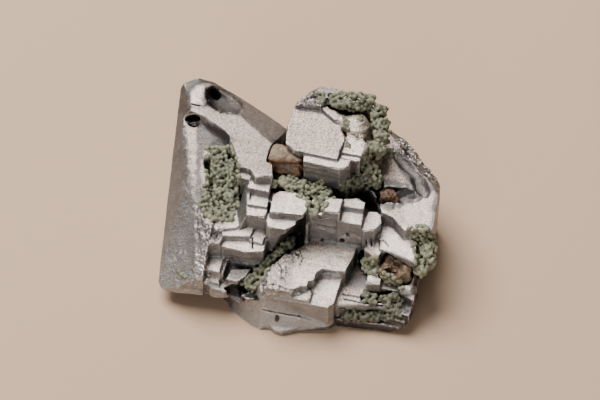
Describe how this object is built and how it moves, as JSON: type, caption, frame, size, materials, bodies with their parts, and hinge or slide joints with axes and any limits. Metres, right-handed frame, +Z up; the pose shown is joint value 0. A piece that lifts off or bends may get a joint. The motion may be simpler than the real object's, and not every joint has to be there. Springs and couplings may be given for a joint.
{
  "type": "galena specimen",
  "caption": "Mineral hand specimen of stepped, intergrown galena cubes, with green pyromorphite crusts in its hollows and blocky brown siderite crystals; stands on its broken base.",
  "frame": {"origin": "middle of the bounding box at the surface the specimen rests on", "axes": "+Z up, +X to the right along the stepped front side, +Y away from the front side"},
  "size_m": [0.0454, 0.0382, 0.0236],
  "materials": {
    "galena": "metallic grey cleavage faces, bright on top, with fine growth steps and pits",
    "pyromorphite": "dull sage green, in rounded grains",
    "siderite": "tan to rusty brown, satin"
  },
  "bodies": {
    "root": {"galena": "galena", "pyromorphite_left": "pyromorphite", "pyromorphite_center": "pyromorphite", "pyromorphite_crack": "pyromorphite", "pyromorphite_top": "pyromorphite", "pyromorphite_flank": "pyromorphite", "pyromorphite_right": "pyromorphite", "pyromorphite_ledge": "pyromorphite", "pyromorphite_corner": "pyromorphite", "pyromorphite_foot": "pyromorphite", "siderite_center": "siderite", "siderite_right": "siderite", "siderite_small": "siderite"}
  },
  "joints": []
}
